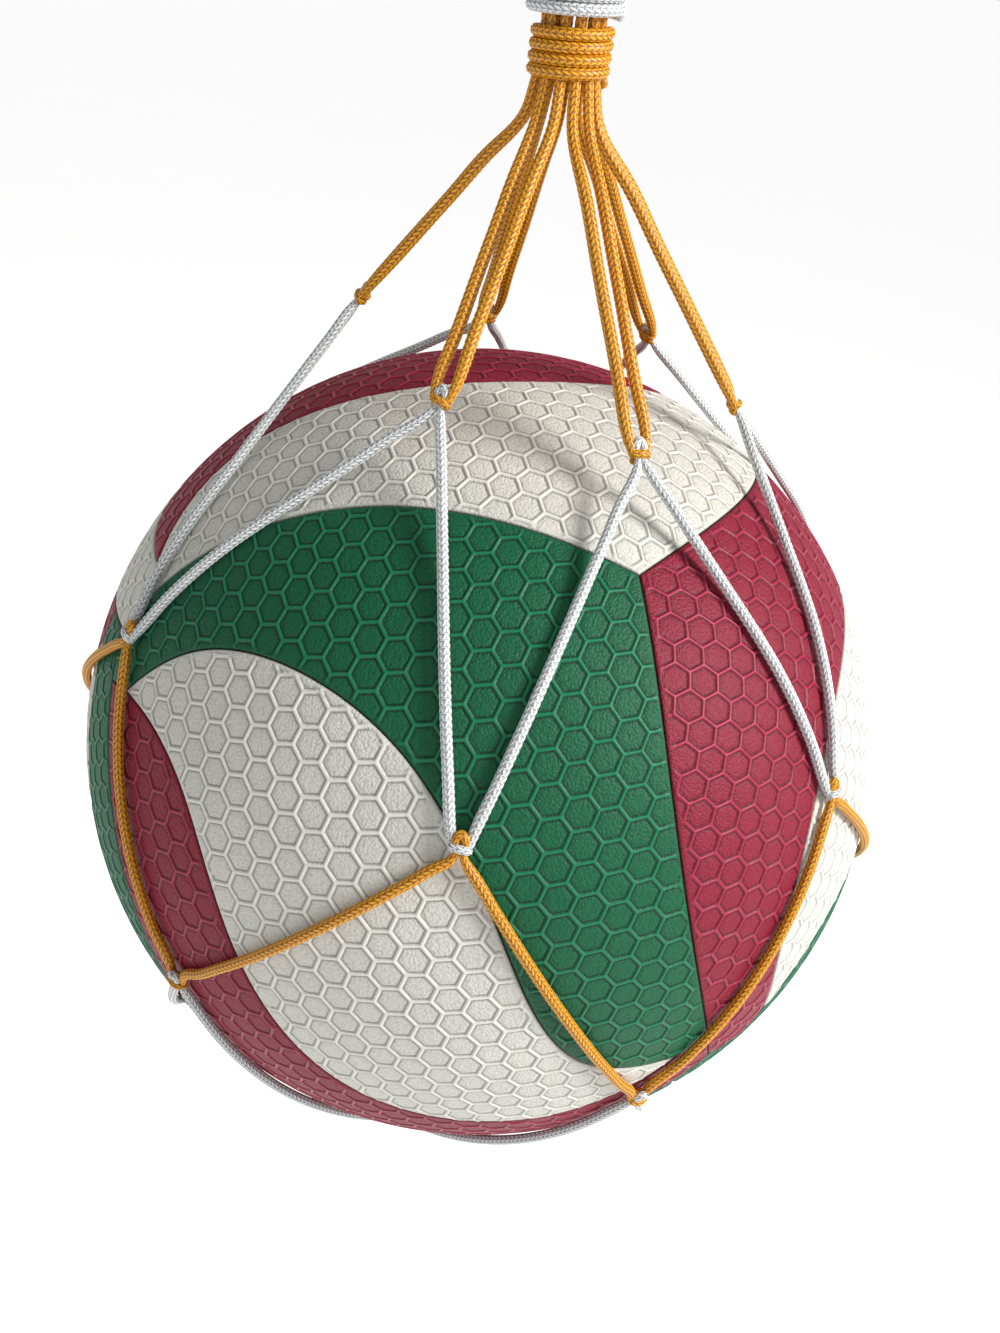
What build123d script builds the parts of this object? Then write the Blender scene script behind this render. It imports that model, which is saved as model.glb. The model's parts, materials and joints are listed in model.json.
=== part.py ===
from build123d import *
import math
import os

# Knotted cord ball bag, hanging with a size-5 ball inside it. Millimetres, +Z up.
# The origin is the inside top of the carry loop, where a hook or a finger holds it.

# Ball
BALL_R = 105.0
PANEL_THICKNESS = 1.8
PANEL_GAP = 0.6
LAYER_GAP = 0.1
CARCASS_THICKNESS = 1.0
BLADDER_THICKNESS = 0.6
SEAM_BOW_DEG = 7.2
SEAM_STEPS = 6

# Directions of two of the ball's six faces, seen from its centre
FRONT_FACE = Vector(-0.171, -0.972, 0.161)
TOP_FACE = Vector(-0.300, 0.207, 0.931)

# Edge of the leaf-shaped middle panel, in shares of the ball radius on the flat plane
# that touches the middle of a face. The other edge is the same one, turned half round.
LEAF_EDGE = [(-0.75, 0.68), (-0.37, 0.75), (-0.08, 0.655), (0.16, 0.43),
             (0.29, 0.04), (0.40, -0.385), (0.57, -0.57), (0.75, -0.68)]
TIP_SEAM_END = (-1.20, 0.86)
SIDE_END = 1.6
CUT_CONE = (0.5, 1.05)

# Valve
VALVE_R = 3.0
VALVE_HOLE_R = 3.4
VALVE_FLANGE_R = 8.0
VALVE_FLANGE_THICKNESS = 1.6
VALVE_DEPTH = 14.0
VALVE_FLANGE_GAP = 0.5
VALVE_RECESS = 0.6
NEEDLE_R = 1.1

# Cords of the net
CORD_D = 2.5
CORD_R = CORD_D / 2
CORD_CLEARANCE = 0.5
CORD_RIDE_R = BALL_R + CORD_CLEARANCE + CORD_R
LEG_SPREAD = 1.4
PAIR_ANGLE = 15.0
MIN_LIFT = 0.01

# Knots of the net. The mouth knots hang in the air: (x, y, z) from the ball's centre.
# The others lie on the ball: (azimuth, latitude) in degrees, azimuth 0 at -Y.
MOUTH_KNOTS = [(-40.1, 3.9, 117.2), (-16.7, -35.7, 109.9), (25.1, -38.8, 105.7),
               (48.2, -2.2, 105.7), (28.9, 36.3, 107.3), (-12.7, 37.0, 106.5)]
UPPER_KNOTS = [(-58.4, 28.8), (-0.1, 25.4), (53.3, 23.1),
               (116.0, 21.5), (175.5, 24.0), (236.0, 27.0)]
LOWER_KNOTS = [(-34.6, -7.9), (27.3, -15.2), (87.0, -13.5),
               (147.5, -12.5), (207.5, -9.0), (267.0, -7.5)]
BASE_KNOTS = [(-6.0, -50.0), (54.5, -52.5), (118.5, -53.0),
              (180.0, -50.0), (239.0, -47.5), (295.5, -47.5)]
KNOT_R = 3.1
KNOT_HEIGHT = 4.2
KNOT_EDGE = 0.8
KNOT_CLEARANCE = 0.4
MOUTH_KNOT_HEIGHT = 6.4

# Ring that ties the bottom together
BASE_RING_R = 8.5

# Gather, neck, ring and carry loop
GATHER_HEIGHT = 173.4
NECK_LENGTH = 38.0
EYE_HEIGHT = 78.6
EYE_TOP_R = 17.5
NECK_STRAND_R = 5.6
NECK_ANGLES = (PAIR_ANGLE, 45.0, 75.0)
EYE_STRAND_Y = (1.45, 4.6, 8.0)
EYE_SHOULDER_DROP = 26.0
EYE_SHOULDER_R = 40.0
NECK_BEND_R = 30.0
TOP_BEND_R = EYE_TOP_R - 0.05
GATHER_KNOT_R = 7.5
GATHER_KNOT_TOP = 4.6
SWING_CLEARANCE_R = 9.0
RING_INNER_R = 7.3
RING_OUTER_R = 10.0
RING_EDGE = 1.2
RING_HEIGHT = 12.0
RING_REST = 5.0

CENTRE_Z = -(GATHER_HEIGHT + NECK_LENGTH + EYE_HEIGHT)
BALL_CENTRE = Vector(0, 0, CENTRE_Z)
GATHER = Vector(0, 0, CENTRE_Z + GATHER_HEIGHT)
TO_BALL = Location((0, 0, CENTRE_Z))

os.makedirs("parts", exist_ok=True)


def save(solid, node):
    """Write one piece, or one group of like pieces, to its own STEP file."""
    export_step(solid, "parts/" + node + ".step")


def on_ball(azimuth, latitude, radius):
    """Point at this azimuth and latitude, from the ball's centre."""
    a = math.radians(azimuth)
    b = math.radians(latitude)
    flat = radius * math.cos(b)
    return Vector(flat * math.sin(a), -flat * math.cos(a), radius * math.sin(b))


def sideways(point):
    """Level direction round the ball at this point, towards larger azimuth."""
    return Vector(-point.Y, point.X, 0).normalized()


# ---- Ball ----------------------------------------------------------------------------

front = FRONT_FACE.normalized()
top = (TOP_FACE - front * TOP_FACE.dot(front)).normalized()
right = top.cross(front)
FACES = {
    "front": (front, top, right),
    "top": (top, right, front),
    "right": (right, front, top),
    "back": (front * -1, top, right * -1),
    "bottom": (top * -1, right, front * -1),
    "left": (right * -1, front, top * -1),
}


def seam_points(towards_side, steps):
    """Bowed seam between two faces, on the flat plane that touches the middle of a face.

    towards_side is +1 for a long side, which bows out, and -1 for a short side, which
    bows in. The points are (along the seam, away from the face's middle)."""
    points = []
    corner = math.degrees(math.atan(1 / math.sqrt(2)))
    for i in range(steps + 1):
        share = 2 * i / steps - 1
        along = math.radians(corner * share)
        bow = math.radians(45 + towards_side * SEAM_BOW_DEG * (1 - share ** 2))
        height = math.cos(along) * math.cos(bow)
        points.append((BALL_R * math.sin(along) / height, BALL_R * math.tan(bow)))
    return points


long_side = seam_points(1, SEAM_STEPS)
short_side = seam_points(-1, SEAM_STEPS)
face_outline = (
    Spline([(x, y) for x, y in long_side])
    + Spline([(y, x) for x, y in short_side])
    + Spline([(-x, -y) for x, y in long_side])
    + Spline([(-y, -x) for x, y in short_side])
)
face_region = make_face(face_outline)

leaf_edge = [(BALL_R * x, BALL_R * y) for x, y in LEAF_EDGE]
leaf_region = make_face(Spline(leaf_edge) + Spline([(-x, -y) for x, y in leaf_edge]))

tip_end = (BALL_R * TIP_SEAM_END[0], BALL_R * TIP_SEAM_END[1])
far = BALL_R * SIDE_END
above_leaf = make_face(
    Line(tip_end, leaf_edge[0])
    + Spline(leaf_edge)
    + Line(leaf_edge[-1], (-tip_end[0], -tip_end[1]))
    + Polyline((-tip_end[0], -tip_end[1]), (far, far), (-far, far), tip_end)
)
side_region = face_region & above_leaf

skin = Sphere(BALL_R) - Sphere(BALL_R - PANEL_THICKNESS)


def panel_solid(region):
    """Panel: the part of the ball's skin inside a cone from the centre through region."""
    outline = offset(region, amount=-PANEL_GAP / 2).face()
    ends = [(Pos(0, 0, share * BALL_R) * scale(outline, by=share)).face()
            for share in CUT_CONE]
    cone = loft(ends, ruled=True)
    return (skin & cone).solid()


side_panel = panel_solid(side_region)
leaf_panel = panel_solid(leaf_region)

valve_axis = FACES["back"][0]
valve_plane = Plane(origin=valve_axis * BALL_R, z_dir=valve_axis)
valve_hole = valve_plane * Cylinder(VALVE_HOLE_R, 4 * VALVE_DEPTH)

for face_name, (normal, up_way, right_way) in FACES.items():
    to_face = Plane(origin=(0, 0, 0), x_dir=right_way, z_dir=normal).location
    pieces = {
        "_side_panel_a": side_panel,
        "_leaf_panel": leaf_panel,
        "_side_panel_b": Rot(0, 0, 180) * side_panel,
    }
    for suffix, solid in pieces.items():
        placed = to_face * solid
        if face_name == "back" and suffix == "_leaf_panel":
            placed = placed - valve_hole
        save(TO_BALL * placed, face_name + suffix)

carcass_r = BALL_R - PANEL_THICKNESS - LAYER_GAP
bladder_r = carcass_r - CARCASS_THICKNESS - LAYER_GAP
bladder_inner_r = bladder_r - BLADDER_THICKNESS
carcass = Sphere(carcass_r) - Sphere(carcass_r - CARCASS_THICKNESS) - valve_hole
save(TO_BALL * carcass, "wound_carcass")
bladder = Sphere(bladder_r) - Sphere(bladder_inner_r) - valve_hole
save(TO_BALL * bladder, "air_bladder")

stem_top = -VALVE_RECESS
flange_top = bladder_inner_r - BALL_R - VALVE_FLANGE_GAP
stem = Cylinder(VALVE_R, VALVE_DEPTH, align=(Align.CENTER, Align.CENTER, Align.MAX))
flange = Cylinder(VALVE_FLANGE_R, VALVE_FLANGE_THICKNESS,
                  align=(Align.CENTER, Align.CENTER, Align.MAX))
valve = Pos(0, 0, stem_top) * stem + Pos(0, 0, flange_top) * flange
valve = valve - Cylinder(NEEDLE_R, 4 * VALVE_DEPTH)
save(TO_BALL * (valve_plane * valve), "valve_plug")

# ---- Net -----------------------------------------------------------------------------

mouth_points = [Vector(*p) for p in MOUTH_KNOTS]
upper_points = [on_ball(a, b, CORD_RIDE_R) for a, b in UPPER_KNOTS]
lower_points = [on_ball(a, b, CORD_RIDE_R) for a, b in LOWER_KNOTS]
base_points = [on_ball(a, b, CORD_RIDE_R) for a, b in BASE_KNOTS]


def lying_knot(point):
    """Flat round knot that lies on the ball, its axis pointing away from the centre."""
    outward = point.normalized()
    disc = Cylinder(KNOT_R, KNOT_HEIGHT, align=(Align.CENTER, Align.CENTER, Align.MIN))
    disc = fillet(disc.edges().filter_by(GeomType.CIRCLE), KNOT_EDGE)
    base = Plane(origin=outward * (BALL_R + KNOT_CLEARANCE), z_dir=outward)
    return base * disc


def hanging_knot(point):
    """Barrel knot in the air between the ball and the gather."""
    along = (Vector(0, 0, GATHER_HEIGHT) - point).normalized()
    barrel = Cylinder(KNOT_R, MOUTH_KNOT_HEIGHT)
    barrel = fillet(barrel.edges().filter_by(GeomType.CIRCLE), KNOT_EDGE)
    return Plane(origin=point, z_dir=along) * barrel


def cord_along(path):
    """Round cord along a path of straight runs and tangent arcs."""
    section = Plane(origin=path @ 0, z_dir=path % 0) * Circle(CORD_R)
    return sweep(section, path=path).solid()


def taut_leg(start, end):
    """Cord pulled tight from start to end: straight until it meets the ball, then round
    it. Both points are measured from the ball's centre; end lies on the ball."""
    out = start.normalized()
    normal = start.cross(end).normalized()
    onward = normal.cross(out)
    turn = math.radians(start.get_angle(end))
    lift = math.acos(min(1.0, CORD_RIDE_R / start.length))

    def at(angle):
        return (out * math.cos(angle) + onward * math.sin(angle)) * CORD_RIDE_R

    arc = ThreePointArc(at(lift), at((lift + turn) / 2), at(turn))
    if lift < MIN_LIFT:
        return cord_along(Wire([arc]))
    return cord_along(Wire([Line(start, at(lift)), arc]))


def zigzag_row(upper, lower, upper_knots, lower_knots, node):
    """One row of meshes: from each upper knot one leg to the lower knot on each side."""
    for i, point in enumerate(upper):
        legs = []
        for side, j in ((-1, i - 1), (1, i)):
            start = point + sideways(point) * (side * LEG_SPREAD)
            end = lower[j] - sideways(lower[j]) * (side * LEG_SPREAD)
            leg = taut_leg(start, end.normalized() * CORD_RIDE_R)
            legs.append((leg - upper_knots[i] - lower_knots[j]).solid())
        save(TO_BALL * Compound(legs), node + "_" + str(i + 1))


mouth_knots = [hanging_knot(p) for p in mouth_points]
upper_knots = [lying_knot(p) for p in upper_points]
lower_knots = [lying_knot(p) for p in lower_points]
base_knots = [lying_knot(p) for p in base_points]

zigzag_row(mouth_points, upper_points, mouth_knots, upper_knots, "upper_mesh_cord")
zigzag_row(upper_points, lower_points, upper_knots, lower_knots, "middle_mesh_cord")
zigzag_row(lower_points, base_points, lower_knots, base_knots, "lower_mesh_cord")

for node, knots in (("mouth_knots", mouth_knots), ("upper_knots", upper_knots),
                    ("lower_knots", lower_knots), ("base_knots", base_knots)):
    save(TO_BALL * Compound([knot.solid() for knot in knots]), node)

gather_point = Vector(0, 0, GATHER_HEIGHT)
swing_room = Pos(gather_point) * Sphere(SWING_CLEARANCE_R)
for i, point in enumerate(mouth_points):
    azimuth = math.degrees(math.atan2(point.Y, point.X))
    strands = []
    for side in (-1, 1):
        start = point + sideways(point) * (side * LEG_SPREAD)
        neck_angle = math.radians(azimuth + side * PAIR_ANGLE)
        reach = Vector(math.cos(neck_angle), math.sin(neck_angle), 0) * NECK_STRAND_R
        strand = cord_along(Wire([Line(start, gather_point + reach)]))
        strands.append((strand - mouth_knots[i] - swing_room).solids().sort_by(Axis.Z)[0])
    save(TO_BALL * Compound(strands), "mouth_cord_" + str(i + 1))

ring_height = -CORD_RIDE_R
base_ring = Pos(0, 0, ring_height) * Torus(BASE_RING_R, CORD_R)
save(TO_BALL * base_ring, "base_ring")

base_legs = []
ring_room = Pos(0, 0, ring_height) * Cylinder(BASE_RING_R + CORD_R, 3 * CORD_D)
for i, point in enumerate(base_points):
    azimuth = math.degrees(math.atan2(point.Y, point.X))
    for side in (-1, 1):
        start = point + sideways(point) * (side * LEG_SPREAD)
        start = start.normalized() * CORD_RIDE_R
        a = math.radians(azimuth + side * PAIR_ANGLE)
        end = Vector(BASE_RING_R * math.cos(a), BASE_RING_R * math.sin(a), ring_height)
        leg = taut_leg(start, end.normalized() * CORD_RIDE_R)
        base_legs.append((leg - base_knots[i] - ring_room).solid())
save(TO_BALL * Compound(base_legs), "base_cords")

# ---- Gather, ring and carry loop -----------------------------------------------------

knot_ball = Sphere(GATHER_KNOT_R)
knot_top = Cylinder(GATHER_KNOT_R, GATHER_KNOT_TOP,
                    align=(Align.CENTER, Align.CENTER, Align.MIN))
above_knot = Box(3 * GATHER_KNOT_R, 3 * GATHER_KNOT_R, GATHER_KNOT_R,
                 align=(Align.CENTER, Align.CENTER, Align.MIN))
gather_knot = knot_ball + knot_top - Pos(0, 0, GATHER_KNOT_TOP) * above_knot
save(Pos(GATHER) * gather_knot, "gather_knot")

ring = Cylinder(RING_OUTER_R, RING_HEIGHT, align=(Align.CENTER, Align.CENTER, Align.MIN))
ring = fillet(ring.edges().filter_by(GeomType.CIRCLE), RING_EDGE)
ring = ring - Cylinder(RING_INNER_R, 3 * RING_HEIGHT)
save(Pos(GATHER) * (Pos(0, 0, RING_REST) * ring), "gather_ring")

eye_top = CORD_R
shoulder_z = eye_top - EYE_TOP_R - EYE_SHOULDER_DROP
neck_top = GATHER.Z + NECK_LENGTH
neck_bottom = GATHER.Z + GATHER_KNOT_TOP
strand_number = 0
for half in (-1, 1):
    for neck_angle, eye_y in zip(NECK_ANGLES, EYE_STRAND_Y):
        a = math.radians(neck_angle)
        neck_x = NECK_STRAND_R * math.cos(a)
        neck_y = NECK_STRAND_R * math.sin(a) * half
        y = eye_y * half
        corners = [
            (neck_x, neck_y, neck_bottom),
            (neck_x, neck_y, neck_top),
            (EYE_TOP_R, y, shoulder_z),
            (EYE_TOP_R, y, eye_top),
            (-EYE_TOP_R, y, eye_top),
            (-EYE_TOP_R, y, shoulder_z),
            (-neck_x, neck_y, neck_top),
            (-neck_x, neck_y, neck_bottom),
        ]
        bends = [NECK_BEND_R, EYE_SHOULDER_R, TOP_BEND_R,
                 TOP_BEND_R, EYE_SHOULDER_R, NECK_BEND_R]
        route = FilletPolyline(*corners, radius=bends)
        strand_number += 1
        save(cord_along(route), "carry_loop_strand_" + str(strand_number))
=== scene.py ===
import json
import math

import bpy
import numpy as np
from mathutils import Matrix, Vector
from mathutils.geometry import delaunay_2d_cdt


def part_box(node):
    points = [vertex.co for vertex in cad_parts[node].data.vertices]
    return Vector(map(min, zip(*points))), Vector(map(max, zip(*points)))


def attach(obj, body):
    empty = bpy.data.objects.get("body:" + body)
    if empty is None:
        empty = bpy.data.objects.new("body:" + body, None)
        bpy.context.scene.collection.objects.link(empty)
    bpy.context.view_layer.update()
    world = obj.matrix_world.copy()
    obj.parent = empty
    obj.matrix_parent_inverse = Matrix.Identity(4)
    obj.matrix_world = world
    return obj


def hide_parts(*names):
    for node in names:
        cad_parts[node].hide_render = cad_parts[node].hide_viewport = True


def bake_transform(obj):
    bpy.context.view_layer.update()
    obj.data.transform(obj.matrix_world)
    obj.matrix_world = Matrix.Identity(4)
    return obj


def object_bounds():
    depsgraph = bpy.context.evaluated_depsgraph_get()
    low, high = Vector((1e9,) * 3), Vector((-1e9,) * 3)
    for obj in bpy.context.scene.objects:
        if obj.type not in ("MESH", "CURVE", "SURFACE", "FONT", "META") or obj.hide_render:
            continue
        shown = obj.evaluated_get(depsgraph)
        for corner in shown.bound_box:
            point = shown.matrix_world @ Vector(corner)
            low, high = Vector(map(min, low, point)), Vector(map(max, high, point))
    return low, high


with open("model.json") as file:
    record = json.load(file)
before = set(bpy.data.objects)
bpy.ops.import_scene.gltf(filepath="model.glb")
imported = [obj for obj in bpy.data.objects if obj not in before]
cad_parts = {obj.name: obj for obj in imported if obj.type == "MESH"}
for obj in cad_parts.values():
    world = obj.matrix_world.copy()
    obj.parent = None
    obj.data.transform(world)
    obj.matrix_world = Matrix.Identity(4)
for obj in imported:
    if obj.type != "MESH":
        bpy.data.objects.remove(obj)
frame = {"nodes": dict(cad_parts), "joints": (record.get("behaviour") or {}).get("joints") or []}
cad_low, cad_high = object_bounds()

# ---- Camera, floor and light ---------------------------------------------------------
# The bag hangs in front of a plain white sweep, well clear of the floor, and the camera
# looks down on it from just above the ball. A soft light stands high on the right, and a
# wide weak one fills the shade from in front.
MM = 0.001
CAMERA_FROM_BALL = Vector((2.7, -258.2, 196.7)) * MM
CAMERA_DOWN_DEG = 33.84
CAMERA_ROLL_DEG = 7.77
LENS_MM = 30.88
SENSOR_MM = 36.0
FLOOR_DROP = 0.42
FLOOR_SIZE = 60.0
FLOOR_GLOW = 0.66
ROOM_LIGHT = 0.33

carcass_low, carcass_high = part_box("wound_carcass")
ball_centre = (carcass_low + carcass_high) / 2

camera_data = bpy.data.cameras.new("camera")
camera_data.lens = LENS_MM
camera_data.sensor_width = SENSOR_MM
camera_data.clip_start = 0.01
camera_data.clip_end = 200.0
camera = bpy.data.objects.new("camera", camera_data)
bpy.context.scene.collection.objects.link(camera)
camera.matrix_world = (
    Matrix.Translation(ball_centre + CAMERA_FROM_BALL)
    @ Matrix.Rotation(math.radians(90 - CAMERA_DOWN_DEG), 4, "X")
    @ Matrix.Rotation(math.radians(CAMERA_ROLL_DEG), 4, "Z")
)
bpy.context.scene.camera = camera
bpy.context.scene.view_settings.view_transform = "Standard"


def soft_light(name, place, width, power, tint):
    """Square soft light at this place from the ball's centre, aimed at the ball."""
    data = bpy.data.lights.new(name, "AREA")
    data.shape = "SQUARE"
    data.size = width
    data.energy = power
    data.color = tint
    light = bpy.data.objects.new(name, data)
    bpy.context.scene.collection.objects.link(light)
    light.location = ball_centre + Vector(place)
    light.rotation_euler = (-Vector(place)).to_track_quat("-Z", "Y").to_euler()


soft_light("key_light", place=(0.85, -0.28, 0.62), width=0.36, power=13.0,
           tint=(1.0, 0.985, 0.96))
soft_light("fill_light", place=(-0.3, -1.2, 1.0), width=1.0, power=2.4,
           tint=(0.95, 0.97, 1.0))

world = bpy.data.worlds.new("sweep")
world.use_nodes = True
world.node_tree.nodes["Background"].inputs["Color"].default_value = (1.0, 1.0, 1.0, 1.0)
world.node_tree.nodes["Background"].inputs["Strength"].default_value = ROOM_LIGHT
bpy.context.scene.world = world


def node(material, kind, **inputs):
    """New shader node of this kind, with these inputs set."""
    made = material.node_tree.nodes.new(kind)
    for name, value in inputs.items():
        made.inputs[name.replace("_", " ")].default_value = value
    return made


def join(material, *pairs):
    """Link each output to the input after it."""
    for output, socket in pairs:
        material.node_tree.links.new(output, socket)


def new_material(name):
    """Empty node material and its surface shader."""
    material = bpy.data.materials.new(name)
    material.use_nodes = True
    return material, material.node_tree.nodes["Principled BSDF"]


def mapped(material, source, low, high, to_low, to_high):
    """Output that turns source's range low to high into to_low to to_high."""
    ramp = node(material, "ShaderNodeMapRange", From_Min=low, From_Max=high,
                To_Min=to_low, To_Max=to_high)
    join(material, (source, ramp.inputs["Value"]))
    return ramp.outputs["Result"]


def mixed(material, share, first, second):
    """Output that mixes two colours. Each is a colour or another node's output."""
    mix = material.node_tree.nodes.new("ShaderNodeMix")
    mix.data_type = "RGBA"
    for socket, value in ((mix.inputs[0], share), (mix.inputs[6], first),
                          (mix.inputs[7], second)):
        if isinstance(value, bpy.types.NodeSocket):
            join(material, (value, socket))
        else:
            socket.default_value = value
    return mix.outputs[2]


def colour(red, green, blue):
    """Colour from its red, green and blue shares of 255 on a screen."""
    shares = []
    for value in (red, green, blue):
        share = value / 255
        shares.append(share / 12.92 if share < 0.04 else ((share + 0.055) / 1.055) ** 2.4)
    return (*shares, 1.0)


floor_mesh = bpy.data.meshes.new("floor")
half = FLOOR_SIZE / 2
floor_z = cad_low.z - FLOOR_DROP
floor_mesh.from_pydata([(-half, -half, floor_z), (half, -half, floor_z),
                        (half, half, floor_z), (-half, half, floor_z)], [], [(0, 1, 2, 3)])
floor = bpy.data.objects.new("floor", floor_mesh)
bpy.context.scene.collection.objects.link(floor)
floor_paint, surface = new_material("floor_paint")
mottle = node(floor_paint, "ShaderNodeTexNoise", Scale=3.0, Detail=3.0)
coordinates = node(floor_paint, "ShaderNodeTexCoord")
join(floor_paint, (coordinates.outputs["Object"], mottle.inputs["Vector"]),
     (mixed(floor_paint, mottle.outputs["Fac"], (0.88, 0.88, 0.88, 1), (0.92, 0.92, 0.92, 1)),
      surface.inputs["Base Color"]))
surface.inputs["Roughness"].default_value = 0.9
surface.inputs["Emission Color"].default_value = (1.0, 1.0, 1.0, 1.0)
surface.inputs["Emission Strength"].default_value = FLOOR_GLOW
floor_mesh.materials.append(floor_paint)

# ---- Ball cover panels ---------------------------------------------------------------
# Eighteen panels of embossed microfibre leatherette, three to each of the ball's six
# faces, glued edge to edge over the wound carcass. Each is pressed with a honeycomb of
# low ridges and a pebbled grain, and its edges roll down into the seams.
# The ridges' lighter colour is a painted highlight, and the dark colour in the creases, along
# the seams and in the pebble hollows is painted shade.
PANEL_THICKNESS = 1.8
LAYER_GAP = 0.1
BALL_R = (carcass_high.x - carcass_low.x) / 2 / MM + LAYER_GAP + PANEL_THICKNESS
FRONT_FACE = Vector((-0.171, -0.972, 0.161))
TOP_FACE = Vector((-0.300, 0.207, 0.931))
CORNER_DEG = math.degrees(math.atan(math.sqrt(0.5)))
SEAM_BOW_DEG = 7.2
LEAF_EDGE = [(-0.75, 0.68), (-0.37, 0.75), (-0.08, 0.655), (0.16, 0.43),
             (0.29, 0.04), (0.40, -0.385), (0.57, -0.57), (0.75, -0.68)]
TIP_SEAM_END = (-1.20, 0.86)
VALVE_HOLE_R = 3.4
HEX_INRADIUS = 3.45
HEX_RINGS = (0.0, 0.14, 0.32, 0.5, 0.64, 1.0, 1.9)
SIDE_STEPS = 4
HONEYCOMB_SLANT_DEG = 4.0
RIDGE_HEIGHT = 0.24
CREASE_DEPTH = 0.12
RIM_DEPTHS = (0.12, 0.24, 0.42, 0.68, 1.0, 1.4)
RIM_ROLL_R = 0.8
RIM_STEP = 0.5
RIM_ROOM = 0.3
CELL_ROOM = 0.5
CELL_DEPTH = 3.0
HOLE_STEP_DEG = 6
RIM_FADE = (0.2, 1.3)
RIDGE_SLOPE = (0.12, 0.5)
CREASE_INNER, CREASE_OUTER = (0.35, 0.6), (0.6, 1.0)
# How strong the painted shade is in the creases and along the seams, and how wide it runs from
# each seam
CREASE_SHADE = 0.9
SEAM_SHADE_WIDTH = (0.1, 0.5)
SEAM_SHADE = 0.7
WELD = 0.001
COVER_COLOURS = {
    "front": ("green", "white", "red"),
    "top": ("white", "red", "white"),
    "right": ("red", "white", "green"),
    "back": ("green", "white", "red"),
    "bottom": ("green", "white", "green"),
    "left": ("green", "white", "red"),
}


def along(line):
    """Distance from the line's start at each of its points."""
    steps = np.linalg.norm(np.diff(line[:, :3], axis=0), axis=1)
    return np.concatenate([[0.0], np.cumsum(steps)])


def divided(line, count):
    """The same line in this many equal steps."""
    reach = along(line)
    places = np.linspace(0, reach[-1], count + 1)
    return np.stack([np.interp(places, reach, line[:, k]) for k in range(line.shape[1])], 1)


def curve_through(points, spacing):
    """Smooth curve through these points, as a line in steps of about this length."""
    points = np.array(points, float)
    t = along(points)
    gap = np.diff(t)
    count = len(points)
    system = np.eye(count)
    pull = np.zeros_like(points)
    for i in range(1, count - 1):
        system[i, i - 1:i + 2] = gap[i - 1], 2 * (gap[i - 1] + gap[i]), gap[i]
        pull[i] = 6 * ((points[i + 1] - points[i]) / gap[i]
                       - (points[i] - points[i - 1]) / gap[i - 1])
    bend = np.linalg.solve(system, pull)
    places = np.linspace(0, t[-1], max(3, round(t[-1] / spacing * 2)))
    i = np.clip(np.searchsorted(t, places, side="right") - 1, 0, count - 2)
    h = gap[i][:, None]
    before = (places - t[i])[:, None]
    after = h - before
    curve = ((bend[i] * after ** 3 + bend[i + 1] * before ** 3) / (6 * h)
             + (points[i] / h - bend[i] * h / 6) * after
             + (points[i + 1] / h - bend[i + 1] * h / 6) * before)
    return divided(curve, max(2, round(along(curve)[-1] / spacing)))


def over_ball(shares):
    """Points on the plane that touches a face's middle, in shares of the ball's radius,
    turned into millimetres over the ball from that middle."""
    shares = np.array(shares, float)
    reach = np.linalg.norm(shares, axis=1, keepdims=True)
    return shares * BALL_R * np.arctan(reach) / reach


def bowed_seam(towards_side, steps=120):
    """Seam between two faces. It bows out with towards_side +1 and in with -1."""
    share = np.linspace(-1, 1, steps + 1)
    angle = np.radians(CORNER_DEG * share)
    bow = np.radians(45 + towards_side * SEAM_BOW_DEG * (1 - share ** 2))
    return np.stack([np.tan(angle) / np.cos(bow), np.tan(bow)], 1)


def crossing(first, second):
    """Where the end of one line meets the start of the next: both places and the point."""
    a, da = first[:-1, None], np.diff(first, axis=0)[:, None]
    b, db = second[None, :-1], np.diff(second, axis=0)[None]
    gap = b - a
    with np.errstate(divide="ignore", invalid="ignore"):
        det = da[..., 0] * db[..., 1] - da[..., 1] * db[..., 0]
        s = (gap[..., 0] * db[..., 1] - gap[..., 1] * db[..., 0]) / det
        t = (gap[..., 0] * da[..., 1] - gap[..., 1] * da[..., 0]) / det
    hits = np.argwhere((s >= 0) & (s <= 1) & (t >= 0) & (t <= 1))
    i, j = hits[np.argmax(hits[:, 0] - hits[:, 1])]
    return i, j, first[i] + (first[i + 1] - first[i]) * s[i, j]


def inset_loop(sides, counts, depth):
    """Closed outline this far inside the sides, each side in its own count of steps."""
    moved = []
    for side in sides:
        way = np.gradient(side, axis=0)
        way /= np.linalg.norm(way, axis=1, keepdims=True)
        line = side + np.stack([-way[:, 1], way[:, 0]], 1) * depth
        reach = 1 + 4 * depth
        moved.append(np.vstack([line[0] - way[0] * reach, line, line[-1] + way[-1] * reach]))
    meets = [crossing(moved[k - 1], moved[k]) for k in range(len(moved))]
    loop = []
    for k, line in enumerate(moved):
        _, first, start = meets[k]
        last, _, end = meets[(k + 1) % len(moved)]
        part = np.vstack([start, line[first + 1:last + 1], end])
        loop.append(divided(part, counts[k])[:-1])
    return np.vstack(loop)


def inside(points, loop):
    """Which of the points lie inside the loop."""
    x, y = points[:, :1], points[:, 1:2]
    x0, y0 = loop[:, 0], loop[:, 1]
    x1, y1 = np.roll(x0, -1), np.roll(y0, -1)
    with np.errstate(divide="ignore", invalid="ignore"):
        crosses = ((y0 > y) != (y1 > y)) & (x < (x1 - x0) * (y - y0) / (y1 - y0) + x0)
    return crosses.sum(1) % 2 == 1


def clearance(points, loop):
    """Distance from each point to the nearest point of the loop."""
    nearest = np.full(len(points), np.inf)
    for start in range(0, len(loop), 100):
        gap = points[:, None] - loop[None, start:start + 100]
        nearest = np.minimum(nearest, np.sqrt((gap ** 2).sum(2)).min(1))
    return nearest


def smooth_step(value, low, high):
    """0 below low, 1 above high, and an even rise between them."""
    share = np.clip((value - low) / (high - low), 0, 1)
    return share * share * (3 - 2 * share)


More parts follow.
